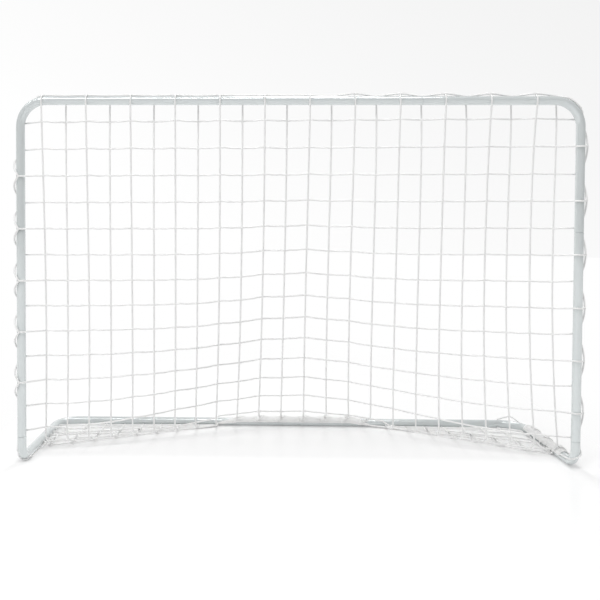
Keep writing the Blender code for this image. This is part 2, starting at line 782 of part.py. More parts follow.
def build():
    clear_scene()
    painted = material("powder_coated_steel", (0.62, 0.66, 0.68), 0.3, 0.1)
    spring = material("zinc_plated_spring_steel", (0.6, 0.6, 0.6), 0.35, 1.0)
    cord = material("polyethylene_net_cord", (0.9, 0.9, 0.9), 0.6)
    bar = crossbar_tube(painted)
    rear = rear_bar_tube(painted)
    tubes = {"crossbar": {}, "post": {}, "foot": {}, "rear": {}}
    for word, side in (("left", -1), ("right", 1)):
        corner = top_corner_tube("top_corner_tube_" + word, side, painted)
        post = post_tube("post_tube_" + word, side, painted)
        arm = base_arm_tube("base_arm_tube_" + word, side, painted)
        tubes["crossbar"][word] = (bar, corner)
        tubes["post"][word] = (corner, post)
        tubes["foot"][word] = (post, arm)
        tubes["rear"][word] = (arm, rear)
    for name, seam, inward, outward in joint_places():
        kind, word = name.rsplit("_", 1)
        place = joint_frame(seam, inward, outward)
        button_hole("hole_" + name, place, tubes[kind][word])
        spring_button("button_" + name, place, spring)
        spring_clip("clip_" + name, place, spring)
    net(cord)


build()
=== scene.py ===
"""Portable soccer goal, dressed for its picture: round powder-coated tubes, zinc-plated spring
buttons and a white cord net laced in front of and behind the frame by turns.
"""

import math

import bmesh
import bpy
from mathutils import Matrix, Quaternion, Vector


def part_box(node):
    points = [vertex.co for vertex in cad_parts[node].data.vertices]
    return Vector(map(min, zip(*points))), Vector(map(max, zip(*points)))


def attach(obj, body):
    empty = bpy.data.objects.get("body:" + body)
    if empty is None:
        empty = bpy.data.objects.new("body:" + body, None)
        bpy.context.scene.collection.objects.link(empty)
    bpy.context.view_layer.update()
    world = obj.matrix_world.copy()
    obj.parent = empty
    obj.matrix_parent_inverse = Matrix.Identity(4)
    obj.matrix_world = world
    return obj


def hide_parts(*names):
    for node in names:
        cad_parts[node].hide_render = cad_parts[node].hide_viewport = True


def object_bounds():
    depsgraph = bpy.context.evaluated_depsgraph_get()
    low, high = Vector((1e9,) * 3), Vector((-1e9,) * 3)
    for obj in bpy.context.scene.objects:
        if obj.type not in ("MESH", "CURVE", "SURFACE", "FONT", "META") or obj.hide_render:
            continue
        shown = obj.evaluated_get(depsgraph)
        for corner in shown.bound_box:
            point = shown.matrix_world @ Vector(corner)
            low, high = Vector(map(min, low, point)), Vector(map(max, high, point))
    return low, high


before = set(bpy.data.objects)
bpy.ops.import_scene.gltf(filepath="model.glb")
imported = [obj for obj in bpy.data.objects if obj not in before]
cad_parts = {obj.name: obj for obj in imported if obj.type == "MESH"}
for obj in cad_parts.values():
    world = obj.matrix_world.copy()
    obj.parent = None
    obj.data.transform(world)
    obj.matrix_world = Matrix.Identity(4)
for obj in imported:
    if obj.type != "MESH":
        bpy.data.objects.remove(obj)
cad_low, cad_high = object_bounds()

X = Vector((1, 0, 0))
Y = Vector((0, 1, 0))
Z = Vector((0, 0, 1))

# The frame's sizes, read from the solids
BAR_LOW, BAR_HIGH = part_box("crossbar_tube")
POST_LOW, POST_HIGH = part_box("post_tube_right")
ARM_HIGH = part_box("base_arm_tube_right")[1]
REAR_LOW, REAR_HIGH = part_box("rear_bar_tube")
TUBE_RADIUS = (BAR_HIGH.z - BAR_LOW.z) / 2
POST_X = (POST_LOW.x + POST_HIGH.x) / 2
FRONT_Y = (POST_LOW.y + POST_HIGH.y) / 2
REAR_Y = (REAR_LOW.y + REAR_HIGH.y) / 2
BAR_Z = (BAR_LOW.z + BAR_HIGH.z) / 2
BASE_Z = (REAR_LOW.z + REAR_HIGH.z) / 2
DEPTH = REAR_Y - FRONT_Y

# The tubes' own details. The swage is drawn short, so that the seams hardly show.
TUBE_WALL = 0.0012
SPIGOT_LENGTH = 0.070
SPIGOT_CLEARANCE = 0.0003
SWAGE_LENGTH = 0.0012
CORNER_RADIUS = 0.082
FOOT_RADIUS = 0.050
TUBE_SIDES = 40
CORNER_STEPS = 18
FOOT_STEPS = 14
EDGE_ROUNDING = 0.0002
SPIGOT_RADIUS = TUBE_RADIUS - TUBE_WALL - SPIGOT_CLEARANCE
BAR_SEAM_X = BAR_HIGH.x - SPIGOT_LENGTH
POST_SEAM_Z = POST_HIGH.z - SPIGOT_LENGTH
FOOT_SEAM_Z = ARM_HIGH.z - SPIGOT_LENGTH
REAR_SEAM_X = REAR_HIGH.x - SPIGOT_LENGTH

# Spring buttons; each step of the dome is a rise and a scale of the ring below
BUTTON_LOW, BUTTON_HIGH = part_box("button_crossbar_right")
BUTTON_FOOT = BUTTON_LOW.y - FRONT_Y
BUTTON_TOP = BUTTON_HIGH.y - FRONT_Y
BUTTON_RADIUS = 0.004
FLANGE_RADIUS = 0.005
FLANGE_THICKNESS = 0.0015
HOLE_CLEARANCE = 0.0003
HOLE_BAND = 0.0065
DOME = ((0.0007, 0.94), (0.0005, 0.82), (0.0003, 0.6), (0.0001, 0.3))
DOME_HEIGHT = 0.0016

# The net: its counts and its cord
COLUMNS = 25
POST_ROWS = 13
FREE_ROWS = 14
ALL_ROWS = 20
ROW_STEPS = 5
CORD_RADIUS = 0.0028
CORD_SIDES = 8
KNOT_SWELL = 0.22
KNOT_REACH = 0.004
BORDER_SCALE = 1.05
BRAID_PITCH = 0.009
BRAID_YARNS = 3.0

# The net on the frame; a pair of values is for the left end and the right end
FIRST_ROW_DROP = (0.0690, 0.0560)
ROW_PITCH = (0.0853, 0.0866)
COLUMN_PITCH = 2 * POST_X / COLUMNS
LACING_GAP = 0.0003
CORD_ON_TUBE = TUBE_RADIUS + CORD_RADIUS + LACING_GAP
FLOOR_Z = cad_low[2]
CORD_LIE_Z = FLOOR_Z + CORD_RADIUS * 1.2
BORDER_Z = BASE_Z - 0.009
BORDER_RISE = 0.0045
REAR_CORD_ANGLE = -15
CORNER_CORD_ANGLE = -35
HANG_STEPS = 60
HANG_END_ON_BAR = 0.085
HANG_END_ON_FLOOR = 0.060
BASE_DROP = 1 - HANG_END_ON_FLOOR / BAR_Z

# The net gathered on the rear bar, and the cord wound round the right arm
BAND_PITCH = 0.0048
BAND_SLANT = 0.022 / 80
BAND_LIFT = 0.0044
WOUND_PITCH = 0.0074
WOUND_STRANDS = (-6, -4, -2, 0, 2, 4, 6, 7, 5, 3, 1, -1, -3, -5, -2, -1, 0, 1, 1)
OUTER_TURNS = range(14, 18)
OUTER_TURN_RISE = 0.0050


def linear(hex_colour):
    """An sRGB colour such as "C4CACB" as linear red, green, blue and alpha."""
    channels = [int(hex_colour[j:j + 2], 16) / 255 for j in (0, 2, 4)]
    return [c / 12.92 if c <= 0.04045 else ((c + 0.055) / 1.055) ** 2.4 for c in channels] + [1.0]


def add_node(tree, kind, values=None, links=None, **settings):
    """One shader node with its settings, its sockets' values and what feeds them."""
    made = tree.nodes.new(kind)
    for name, value in settings.items():
        setattr(made, name, value)
    for name, value in (values or {}).items():
        made.inputs[name].default_value = value
    for name, source in (links or {}).items():
        tree.links.new(source, made.inputs[name])
    return made


def new_material(name):
    """A material with its node tree and its main shader."""
    made = bpy.data.materials.new(name)
    made.use_nodes = True
    return made, made.node_tree, made.node_tree.nodes["Principled BSDF"]


def powder_coated_steel():
    """Light cool grey gloss powder coat with a fine aluminium flake, so that the tubes mirror the
    lamps and the white floor in soft bands, under a faint orange-peel ripple.
    """
    made, tree, shader = new_material("powder_coated_steel")
    place = add_node(tree, "ShaderNodeTexCoord")
    shade = add_node(tree, "ShaderNodeTexNoise", {"Scale": 9.0, "Detail": 3.0},
                     {"Vector": place.outputs["Object"]})
    tone = add_node(tree, "ShaderNodeMix", {"A": linear("D5DADB"), "B": linear("DADFDF")},
                    {"Factor": shade.outputs["Fac"]}, data_type="RGBA")
    peel = add_node(tree, "ShaderNodeTexNoise", {"Scale": 320.0, "Detail": 2.0},
                    {"Vector": place.outputs["Object"]})
    ripple = add_node(tree, "ShaderNodeBump", {"Strength": 0.06, "Distance": 0.0004},
                      {"Height": peel.outputs["Fac"]})
    tree.links.new(tone.outputs["Result"], shader.inputs["Base Color"])
    tree.links.new(ripple.outputs["Normal"], shader.inputs["Normal"])
    shader.inputs["Metallic"].default_value = 0.22
    shader.inputs["Roughness"].default_value = 0.12
    shader.inputs["IOR"].default_value = 1.5
    return made


def zinc_plated_steel():
    """Bright zinc over drawn steel: a soft metal shine, slightly cloudy."""
    made, tree, shader = new_material("zinc_plated_spring_steel")
    place = add_node(tree, "ShaderNodeTexCoord")
    cloud = add_node(tree, "ShaderNodeTexNoise", {"Scale": 260.0, "Detail": 3.0},
                     {"Vector": place.outputs["Object"]})
    tone = add_node(tree, "ShaderNodeMix", {"A": linear("AEB3B8"), "B": linear("C9CDD0")},
                    {"Factor": cloud.outputs["Fac"]}, data_type="RGBA")
    rough = add_node(tree, "ShaderNodeMapRange", {"To Min": 0.25, "To Max": 0.42},
                     {"Value": cloud.outputs["Fac"]})
    tree.links.new(tone.outputs["Result"], shader.inputs["Base Color"])
    tree.links.new(rough.outputs["Result"], shader.inputs["Roughness"])
    shader.inputs["Metallic"].default_value = 1.0
    return made


def braided_polyethylene():
    """White braided polyethylene cord: two sets of yarns that cross in small diamonds, a satin shine.
    The yarns are drawn coarser than real ones, so that they show close up.
    """
    made, tree, shader = new_material("braided_polyethylene_cord")
    place = add_node(tree, "ShaderNodeUVMap", uv_map="cord")
    split = add_node(tree, "ShaderNodeSeparateXYZ", {}, {"Vector": place.outputs["UV"]})
    turns = []
    for way in (1, -1):
        around = add_node(tree, "ShaderNodeMath", {1: BRAID_YARNS * way}, {0: split.outputs["Y"]},
                          operation="MULTIPLY")
        helix = add_node(tree, "ShaderNodeMath", {1: 1 / BRAID_PITCH},
                         {0: split.outputs["X"], 2: around.outputs["Value"]}, operation="MULTIPLY_ADD")
        angle = add_node(tree, "ShaderNodeMath", {1: 2 * math.pi}, {0: helix.outputs["Value"]},
                         operation="MULTIPLY")
        turns.append(add_node(tree, "ShaderNodeMath", {}, {0: angle.outputs["Value"]}, operation="SINE"))
    yarn = add_node(tree, "ShaderNodeMath", {},
                    {0: turns[0].outputs["Value"], 1: turns[1].outputs["Value"]}, operation="MULTIPLY")
    height = add_node(tree, "ShaderNodeMapRange", {"From Min": -1.0}, {"Value": yarn.outputs["Value"]})
    # Painted shade: the grooves between the yarns are coloured darker than their crests
    tone = add_node(tree, "ShaderNodeMix", {"A": linear("E5E5E5"), "B": linear("F1F1F0")},
                    {"Factor": height.outputs["Result"]}, data_type="RGBA")
    weave = add_node(tree, "ShaderNodeBump", {"Strength": 0.5, "Distance": 0.0003},
                     {"Height": height.outputs["Result"]})
    tree.links.new(tone.outputs["Result"], shader.inputs["Base Color"])
    tree.links.new(weave.outputs["Normal"], shader.inputs["Normal"])
    shader.inputs["Roughness"].default_value = 0.5
    shader.inputs["IOR"].default_value = 1.5
    return made


# Tubes, drawn out ring by ring

def lay_ring(name, centre, heading, radius):
    """A ring of points in edit mode, ready to be drawn out into a tube."""
    bpy.ops.object.select_all(action="DESELECT")
    bpy.ops.mesh.primitive_circle_add(vertices=TUBE_SIDES, radius=radius, location=centre,
                                      rotation=heading.to_track_quat("Z", "Y").to_euler())
    made = bpy.context.object
    made.name = name
    bpy.ops.object.transform_apply(location=True, rotation=True, scale=True)
    bpy.ops.object.mode_set(mode="EDIT")
    bpy.ops.mesh.select_all(action="SELECT")
    return made


def draw_on(centre, heading, length, scale=1.0):
    """Draws the selected ring straight on, and necks it in or out about its new centre."""
    bpy.ops.mesh.extrude_region_move(TRANSFORM_OT_translate={"value": heading * length})
    end = centre + heading * length
    if scale != 1.0:
        bpy.ops.transform.resize(value=(scale, scale, scale), center_override=end)
    return end


def draw_round(centre, heading, towards, radius, steps):
    """Draws the selected ring round a quarter bend towards a direction."""
    middle = centre + towards * radius
    bpy.ops.mesh.spin(steps=steps, angle=math.pi / 2, center=middle, axis=towards.cross(heading))
    return middle + heading * radius


def finish_tube(made, nodes, finish, holes):
    """Closes edit mode, gives the tube its wall, cuts the button holes and softens the ends. Two
    loops beside each hole keep the long faces next to it whole, so that they shade evenly.
    """
    for place, cutter in holes:
        run = place.to_3x3().col[0]
        for way in (-HOLE_BAND, HOLE_BAND):
            bpy.ops.mesh.select_all(action="SELECT")
            bpy.ops.mesh.bisect(plane_co=place.translation + run * way, plane_no=run)
    bpy.ops.mesh.select_all(action="SELECT")
    bpy.ops.mesh.normals_make_consistent(inside=False)
    bpy.ops.object.mode_set(mode="OBJECT")
    wall = made.modifiers.new("wall", "SOLIDIFY")
    wall.thickness = TUBE_WALL
    wall.offset = -1
    bpy.ops.object.modifier_apply(modifier="wall")
    for place, cutter in holes:
        cut = made.modifiers.new("hole", "BOOLEAN")
        cut.operation = "DIFFERENCE"
        cut.solver = "EXACT"
        cut.object = cutter
        bpy.ops.object.modifier_apply(modifier="hole")
    edge = made.modifiers.new("edge", "BEVEL")
    edge.width = EDGE_ROUNDING
    edge.segments = 2
    edge.limit_method = "ANGLE"
    edge.angle_limit = math.radians(60)
    bpy.ops.object.modifier_apply(modifier="edge")
    bpy.ops.object.shade_smooth_by_angle(angle=math.radians(20))
    made.data.materials.append(finish)
    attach(made, "goal")
    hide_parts(*nodes)


def hole_cutter(place):
    """A short round cutter through the wall, from the tube's middle out."""
    bpy.ops.object.select_all(action="DESELECT")
    bpy.ops.mesh.primitive_cylinder_add(vertices=32, radius=BUTTON_RADIUS + HOLE_CLEARANCE,
                                        depth=TUBE_RADIUS * 1.5)
    cutter = bpy.context.object
    cutter.matrix_world = place @ Matrix.Translation((0, 0, TUBE_RADIUS * 1.25))
    bpy.ops.object.transform_apply(location=True, rotation=True, scale=True)
    return cutter


def joint_places():
    """Each plug joint's button: where it is on the tube's axis, with Z out through the button."""
    half = SPIGOT_LENGTH / 2
    low_back = (Y - Z).normalized()
    places = {}
    for word, side in (("left", -1), ("right", 1)):
        spots = {
            "crossbar": (Vector((side * (BAR_SEAM_X + half), FRONT_Y, BAR_Z)), X * side, Y),
            "post": (Vector((side * POST_X, FRONT_Y, POST_SEAM_Z + half)), Z, Y),
            "foot": (Vector((side * POST_X, FRONT_Y, FOOT_SEAM_Z + half)), Z, Y),
            "rear": (Vector((side * (REAR_SEAM_X + half), REAR_Y, BASE_Z)), X * side, low_back),
        }
        for kind, (centre, inward, outward) in spots.items():
            turned = Matrix((inward, outward.cross(inward), outward)).transposed().to_4x4()
            places[kind + "_" + word] = Matrix.Translation(centre) @ turned
    return places


def make_tubes(finish, places):
    """The eight tubes, each drawn from one end to the other with its swaged spigots."""
    cutters = {name: (place, hole_cutter(place)) for name, place in places.items()}
    neck = TUBE_RADIUS / SPIGOT_RADIUS
    for name, seam, y, z, kind in (("crossbar", BAR_SEAM_X, FRONT_Y, BAR_Z, "crossbar"),
                                   ("rear_bar", REAR_SEAM_X, REAR_Y, BASE_Z, "rear")):
        at = Vector((-seam - SPIGOT_LENGTH, y, z))
        made = lay_ring(name, at, X, SPIGOT_RADIUS)
        at = draw_on(at, X, SPIGOT_LENGTH)
        at = draw_on(at, X, SWAGE_LENGTH, neck)
        at = draw_on(at, X, 2 * (seam - SWAGE_LENGTH))
        at = draw_on(at, X, SWAGE_LENGTH, 1 / neck)
        draw_on(at, X, SPIGOT_LENGTH)
        finish_tube(made, [name + "_tube"], finish,
                    [cutters[kind + "_left"], cutters[kind + "_right"]])
    for word, side in (("left", -1), ("right", 1)):
        out = X * side
        at = Vector((side * (BAR_SEAM_X + SPIGOT_CLEARANCE), FRONT_Y, BAR_Z))
        made = lay_ring("top_corner_" + word, at, out, TUBE_RADIUS)
        at = draw_on(at, out, POST_X - CORNER_RADIUS - BAR_SEAM_X - SPIGOT_CLEARANCE)
        at = draw_round(at, out, -Z, CORNER_RADIUS, CORNER_STEPS)
        draw_on(at, -Z, at.z - POST_SEAM_Z - SPIGOT_CLEARANCE)
        finish_tube(made, ["top_corner_tube_" + word], finish,
                    [cutters["crossbar_" + word], cutters["post_" + word]])

        at = Vector((side * POST_X, FRONT_Y, FOOT_SEAM_Z + SPIGOT_CLEARANCE))
        made = lay_ring("post_" + word, at, Z, TUBE_RADIUS)
        at = draw_on(at, Z, POST_SEAM_Z - SWAGE_LENGTH - at.z)
        at = draw_on(at, Z, SWAGE_LENGTH, 1 / neck)
        draw_on(at, Z, SPIGOT_LENGTH)
        finish_tube(made, ["post_tube_" + word], finish,
                    [cutters["post_" + word], cutters["foot_" + word]])

        at = Vector((side * POST_X, FRONT_Y, FOOT_SEAM_Z + SPIGOT_LENGTH))
        made = lay_ring("base_arm_" + word, at, -Z, SPIGOT_RADIUS)
        at = draw_on(at, -Z, SPIGOT_LENGTH)
        at = draw_on(at, -Z, SWAGE_LENGTH, neck)
        at = draw_on(at, -Z, at.z - FOOT_RADIUS - BASE_Z)
        at = draw_round(at, -Z, Y, FOOT_RADIUS, FOOT_STEPS)
        at = draw_on(at, Y, REAR_Y - CORNER_RADIUS - at.y)
        at = draw_round(at, Y, -out, CORNER_RADIUS, CORNER_STEPS)
        draw_on(at, -out, abs(at.x) - REAR_SEAM_X - SPIGOT_CLEARANCE)
        finish_tube(made, ["base_arm_tube_" + word], finish,
                    [cutters["foot_" + word], cutters["rear_" + word]])
    for place, cutter in cutters.values():
        bpy.data.objects.remove(cutter, do_unlink=True)


def make_buttons(finish, places):
    """Domed pins with a flange that stops them inside the spigot."""
    for name, place in places.items():
        bpy.ops.object.select_all(action="DESELECT")
        bpy.ops.mesh.primitive_circle_add(vertices=24, radius=FLANGE_RADIUS, fill_type="NGON",
                                          location=(0, 0, BUTTON_FOOT))
        made = bpy.context.object
        made.name = "spring_button_" + name
        bpy.ops.object.transform_apply(location=True, rotation=True, scale=True)
        bpy.ops.object.mode_set(mode="EDIT")
        bpy.ops.mesh.select_all(action="SELECT")
        bpy.ops.mesh.extrude_region_move(TRANSFORM_OT_translate={"value": (0, 0, FLANGE_THICKNESS)})
        bpy.ops.mesh.inset(thickness=FLANGE_RADIUS - BUTTON_RADIUS)
        stem = BUTTON_TOP - DOME_HEIGHT - BUTTON_FOOT - FLANGE_THICKNESS
        bpy.ops.mesh.extrude_region_move(TRANSFORM_OT_translate={"value": (0, 0, stem)})
        for rise, scale in DOME:
            bpy.ops.mesh.extrude_region_move(TRANSFORM_OT_translate={"value": (0, 0, rise)})
            bpy.ops.transform.resize(value=(scale, scale, 1), center_override=(0, 0, 0))
        bpy.ops.mesh.select_all(action="SELECT")
        bpy.ops.mesh.normals_make_consistent(inside=False)
        bpy.ops.object.mode_set(mode="OBJECT")
        made.matrix_world = place
        bpy.ops.object.transform_apply(location=True, rotation=True, scale=True)
        bpy.ops.object.shade_smooth_by_angle(angle=math.radians(40))
        made.data.materials.append(finish)
        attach(made, "button_" + name)
        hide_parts("button_" + name)


# The shape in which the net hangs, in metres, found from the photograph

def smooth_step(value, start, width):
    """Rises smoothly from 0 to 1 over a width."""
    share = min(max((value - start) / width, 0.0), 1.0)
    return share * share * (3 - 2 * share)


def hang_back(x):
    """How far behind the posts the hanging net would reach at floor level."""
    return 0.12 + 0.325 * math.cos(math.pi * min(abs(x), 0.85) / 1.70) ** 2 - 0.024 * x


def hang_middle(x):
    """How far behind the posts the net hangs at half its height."""
    return 0.060 + 0.010 * x + 0.098 * math.exp(-((x - 0.015) / 0.25) ** 2)


def floor_touch(x):
    """How far behind the posts the net touches the floor: sooner on the right than on the left."""
    if x < 0:
        return 0.144 + 0.472 * (POST_X - abs(x))
    return 0.135 + 0.385 * max(math.cos(math.pi * x / 1.66), 0.0) ** 1.2


def sideways(x, drop):
    """The columns are drawn out towards the base arms as they come down."""
    ease = min(1.0, (POST_X - abs(x)) / COLUMN_PITCH)
    reach = 0.048 + 0.014 * math.tanh(x / 0.3)
    return x + reach * math.tanh((x + 0.05) / 0.2) * drop ** 2.6 * ease


def on_rear_bar(x):
    """True in the middle, where the net hangs straight to the rear bar."""
    return -0.235 < x < 0.300


def gathered(x):
    """How far the spare net is drawn up over the rear bar, from 0 at its foot to 1."""
    return smooth_step(x, -0.255, 0.11) * smooth_step(-x, -0.305, 0.12)


def gathered_angle(x, k):
    """Where a row lies on the rear bar in the middle, side by side with the next one."""
    foot = 204.0
    return foot + (165.0 - 15.5 * (k - FREE_ROWS) - foot) * gathered(x)


# Points on the tubes, and lines through them

def tube_drop(x):
    """How far the crossbar's axis is below its straight part, over the corner bends."""
    over = max(abs(x) - (POST_X - CORNER_RADIUS), 0.0)
    return CORNER_RADIUS - math.sqrt(max(CORNER_RADIUS ** 2 - over ** 2, 0.0))


def round_bar(centre, radius, angle):
    """A point round a tube that runs along X: 0 is behind it, 90 on top, 180 in front."""
    turn = math.radians(angle)
    return centre + Vector((0, math.cos(turn), math.sin(turn))) * radius


def past_buttons(x):
    """How far the border cord is raised behind the rear bar, where it clears the buttons."""
    return 1 - smooth_step(abs(x), 0.70, 0.09)


def border_at_top(i):
    """Where the border cord passes a column on the crossbar."""
    x = -POST_X + COLUMN_PITCH * i
    bar = Vector((x, FRONT_Y, BAR_Z - tube_drop(x)))
    if x > 0.05:
        return round_bar(bar, CORD_ON_TUBE + 0.0045, 98) if i % 2 else round_bar(bar, CORD_ON_TUBE, 62)
    return round_bar(bar, CORD_ON_TUBE, 84) if i % 2 else round_bar(bar, CORD_ON_TUBE, 72)


def column_line(i):
    """One column of the net from the top border cord to the rear one, and the points on its end where
    rows cross it. A part of a column gives a line between two columns, which only the rows use.
    """
    x = -POST_X + COLUMN_PITCH * i
    bar = Vector((x, FRONT_Y, BAR_Z - tube_drop(x)))
    line = []
    if i == int(i):
        line.append(border_at_top(int(i)))
        if i % 2:
            line += [round_bar(bar, CORD_ON_TUBE, angle) for angle in range(96, 193, 12)]
        else:
            line += [round_bar(bar, CORD_ON_TUBE, angle) for angle in range(64, -13, -12)]
    back = hang_back(x)
    power = max(math.log2(back / hang_middle(x)), 1.05)
    direct = on_rear_bar(x)
    hang_end = HANG_END_ON_BAR if direct else HANG_END_ON_FLOOR
    straightens = 0.16 - 0.09 * math.tanh(x / 0.2)
    hang = []
    for step in range(3, HANG_STEPS + 1):
        drop = step / HANG_STEPS * (1 - hang_end / BAR_Z)
        off_bar = CORD_ON_TUBE * math.cos(math.pi * i) * math.exp(-drop / straightens)
        y = FRONT_Y + back * drop ** power + off_bar
        hang.append(Vector((sideways(x, drop), y, BAR_Z * (1 - drop))))
    if i != int(i):
        line.append(Vector((x, FRONT_Y, BAR_Z)))
    line += hang
    slope = (hang[-1] - hang[-2]).normalized()
    end, knots = (band_end if direct else floor_end)(i, x, hang[-1], slope)
    return line + end, [len(line) + knot for knot in knots]


def band_end(i, x, last, slope):
    """A middle column's end, up and down over the rear bar, and where the rows cross it there."""
    axis = Vector((last.x, REAR_Y - tube_drop(last.x), BASE_Z))
    lift = BAND_LIFT * math.cos(math.pi * i) ** 2 * gathered(x)

    def on_band(angle, strand, proud):
        along = BAND_PITCH * strand - BAND_SLANT * (angle - 125)
        return round_bar(axis, CORD_ON_TUBE + proud, angle) + X * along

    angles = [gathered_angle(x, k) for k in range(FREE_ROWS, ALL_ROWS)]
    low, high = angles[0] + 4, angles[-1] - 6
    line = quarter(last, last + slope * 0.045, on_band(high, -1.5, lift + 0.002), 6)
    line += [on_band(high + (low - high) * step / 5, -1.5, lift + 0.0012) for step in range(1, 5)]
    line.append(on_band(low, -1.0, lift))
    knots = range(len(line), len(line) + len(angles))
    line += [on_band(angle, -0.5, lift) for angle in angles]
    line.append(on_band(high, 0, lift + 0.001))
    line += [on_band(high + (low - high) * step / 5, 0.5, lift + 0.001) for step in range(1, 5)]
    line.append(on_band(low, 1.0, lift))
    line += [on_band(low + (high - low) * step / 5, 1.5, lift + 0.001) for step in range(1, 6)]
    bar = Vector((line[-1].x, axis.y, axis.z))
    for step in range(1, 9):
        angle = high * (1 - step / 8) + REAR_CORD_ANGLE * step / 8
        line.append(round_bar(bar, CORD_ON_TUBE, angle))
    return line, knots


def floor_end(i, x, last, slope):
    """A column's end on the floor, from its fold in front to the rear bar, and where the fold is."""
    edge = Vector((last.x, FRONT_Y + floor_touch(x), CORD_LIE_Z))
    under = Vector((last.x, REAR_Y - tube_drop(last.x) - TUBE_RADIUS * 0.82, CORD_LIE_Z))
    over = min(0.065, 0.35 * (under.y - edge.y))
    down = edge + Vector((0, over, 0.008))
    knee = last + slope * ((last.z - down.z) / max(-slope.z, 0.2))
    line = quarter(last, knee, down, 8)
    line += [edge + Vector((0, over * share, 0.0045 + 0.0035 * share)) for share in (0.75, 0.5, 0.25)]
    line += [edge + Vector((0, ahead, rise))
             for ahead, rise in ((0.004, 0.0048), (0.001, 0.0042), (-0.0006, 0.0024))]
    fold = len(line) - 1
    line += [edge + Vector((0, ahead, rise)) for ahead, rise in ((0.001, 0.0006), (0.004, 0))]
    down = line[-1]
    waves = 3.5 + 0.4 * math.sin(0.9 * i)
    lift = min(0.0055, 0.03 * (under.y - down.y)) * (1 + 0.4 * math.sin(1.3 * i))
    run = max(int((under.y - down.y) / 0.010), 2)
    for step in range(1, run + 1):
        t = step / run
        hump = lift * math.sin(math.pi * waves * t) ** 2 * min(1.0, 4 * t, 4 * (1 - t))
        drift = 0.002 * math.sin(7 * t + 1.7 * i) * min(1.0, 3 * t, 3 * (1 - t))
        line.append(down.lerp(under, t) + Z * hump + X * drift)
    return line, [fold]


def quarter(first, knee, last, steps):
    """Points after the first one on a curve that a knee point draws in."""
    points = []
    for step in range(1, steps + 1):
        t = step / steps
        points.append(first * (1 - t) ** 2 + knee * 2 * t * (1 - t) + last * t ** 2)
    return points


def flow(points, steps):
    """A smooth line through all the points."""
    line = []
    for j in range(len(points) - 1):
        p0, p1, p2 = points[max(j - 1, 0)], points[j], points[j + 1]
        p3 = points[min(j + 2, len(points) - 1)]
        for step in range(steps):
            t = step / steps
            line.append(0.5 * (2 * p1 + (p2 - p0) * t + (2 * p0 - 5 * p1 + 4 * p2 - p3) * t ** 2
                               + (3 * p1 - p0 - 3 * p2 + p3) * t ** 3))
    line.append(points[-1])
    return line


def lengths_of(line):
    """The length of a line up to each of its points."""
    lengths = [0.0]
    for first, second in zip(line[:-1], line[1:]):
        lengths.append(lengths[-1] + (second - first).length)
    return lengths


def at_length(line, lengths, distance):
    """The point at a distance along a line."""
    for j in range(1, len(line)):
        if distance <= lengths[j] or j == len(line) - 1:
            share = (distance - lengths[j - 1]) / max(lengths[j] - lengths[j - 1], 1e-9)
            return line[j - 1].lerp(line[j], min(share, 1.0))


def row_marks(line, lengths, knots):
    """Lengths along a column at which the rows cross it; they sit a little higher on the right."""
    share = 0.5 + line[0].x / (2 * POST_X)
    first = FIRST_ROW_DROP[0] + (FIRST_ROW_DROP[1] - FIRST_ROW_DROP[0]) * share
    pitch = ROW_PITCH[0] + (ROW_PITCH[1] - ROW_PITCH[0]) * share
    zero = 0.0
    for j in range(1, len(line)):
        if line[j].z < BAR_Z <= line[j - 1].z and line[j].z > BAR_Z - 0.2:
            part = (line[j - 1].z - BAR_Z) / (line[j - 1].z - line[j].z)
            zero = lengths[j - 1] + part * (lengths[j] - lengths[j - 1])
    marks = [zero + first + pitch * k for k in range(FREE_ROWS)]
    on_band = len(knots) > 1
    if on_band:
        marks[-1] -= 0.006
        return marks + [lengths[knot] for knot in knots]
    edge = lengths[knots[0]]
    marks[-1] = min(marks[-1], edge - 0.020)
    rest = (lengths[-1] - edge) / (ALL_ROWS - FREE_ROWS - 0.6)
    return marks + [edge + rest * k for k in range(ALL_ROWS - FREE_ROWS)]


def post_point(side, z, radius, angle):
    """A point round a post or its corner bend: 0 is its outer side, 90 its front, 180 its inner side."""
    over = min(max(z - (BAR_Z - CORNER_RADIUS), 0.0), CORNER_RADIUS * 0.98)
    centre = POST_X - CORNER_RADIUS + math.sqrt(CORNER_RADIUS ** 2 - over ** 2)
    turn = math.radians(angle)
    return Vector((side * (centre + math.cos(turn) * radius), FRONT_Y - math.sin(turn) * radius, z))


def foot_point(side, bend, radius, angle):
    """A point round the elbow at a post's foot, after so many degrees of the bend."""
    b, a = math.radians(bend), math.radians(angle)
    centre = Vector((side * POST_X, FRONT_Y + FOOT_RADIUS, BASE_Z + FOOT_RADIUS))
    outward = Vector((0, -math.cos(b), -math.sin(b)))
    return centre + outward * FOOT_RADIUS + (X * side * math.cos(a) + outward * math.sin(a)) * radius


def arm_point(side, y, radius, angle):
    """A point round a base arm: 0 is its outer side, 90 on top, 180 its inner side."""
    turn = math.radians(angle)
    return Vector((side * (POST_X + math.cos(turn) * radius), y, BASE_Z + math.sin(turn) * radius))


def in_front(side, k):
    """Whether a row passes in front of a post on its way to the border cord."""
    return (k % 2 == 0 and 0 < k < 12) if side < 0 else k % 2 == 1


def border_at_post(side, k):
    """The border cord's angle and distance from a post where a row meets it."""
    if side < 0:
        return (84, CORD_ON_TUBE + 0.0012) if in_front(side, k) else (-95, CORD_ON_TUBE + 0.001)
    return (10, CORD_ON_TUBE + 0.0035) if in_front(side, k) else (-62, CORD_ON_TUBE + 0.001)


def row_height(side, k):
    """A row's height at a post; the rows are drawn up a little towards the floor."""
    if side < 0:
        return BAR_Z - 0.0712 - 0.0852 * k + 0.00022 * k * k
    return BAR_Z - 0.0580 - 0.0860 * k + 0.00015 * k * k


def arm_row_place(side, k):
    """How far back a row meets a base arm."""
    first = 0.150 if side < 0 else 0.075
    return FRONT_Y + first + (DEPTH - CORNER_RADIUS - first) * (k - POST_ROWS) / (ALL_ROWS - 1 - POST_ROWS)


